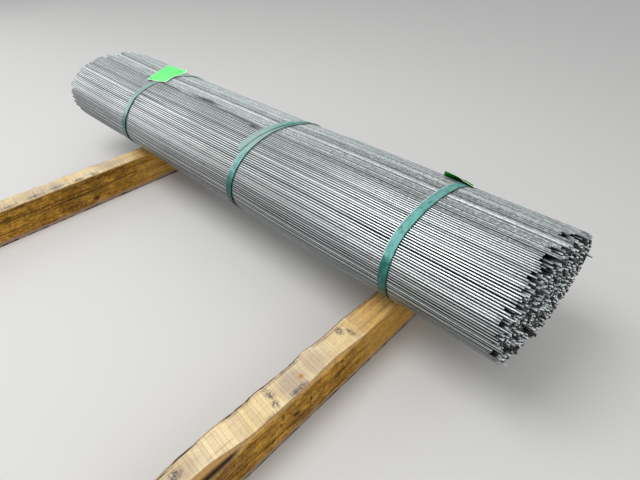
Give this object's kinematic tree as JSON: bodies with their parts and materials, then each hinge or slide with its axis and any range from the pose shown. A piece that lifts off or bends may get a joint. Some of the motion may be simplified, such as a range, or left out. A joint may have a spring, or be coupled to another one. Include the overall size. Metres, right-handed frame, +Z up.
{
  "type": "bundle of formwork tie rods",
  "caption": "Strapped oval bundle of plain round steel tie rods lying across two timber bearers, with loose card tags.",
  "frame": {"origin": "middle of the footprint on the floor, under the two bearers", "axes": "+X along the rods towards the right bearer, +Y along the bearers away from their long overhang, +Z up"},
  "size_m": [2.472, 1.844, 0.5047],
  "materials": {
    "rod_steel": "zinc plated, dull satin with grey storage bloom",
    "strap_plastic": "smooth green polyester strapping, slightly see-through at its edges",
    "tag_card_light": "bright green coated card",
    "tag_card_dark": "dark green coated card",
    "bearer_wood": "rough sawn softwood, weather stained on top and wet at the sides"
  },
  "bodies": {
    "root": {"outer_rods": "rod_steel", "rod_core": "rod_steel", "proud_ends_left": "rod_steel", "proud_ends_right": "rod_steel", "strap_left": "strap_plastic", "strap_middle": "strap_plastic", "strap_right": "strap_plastic", "tag_left": "tag_card_light", "tag_right": "tag_card_dark", "bearer_left": "bearer_wood", "bearer_right": "bearer_wood"}
  },
  "joints": []
}
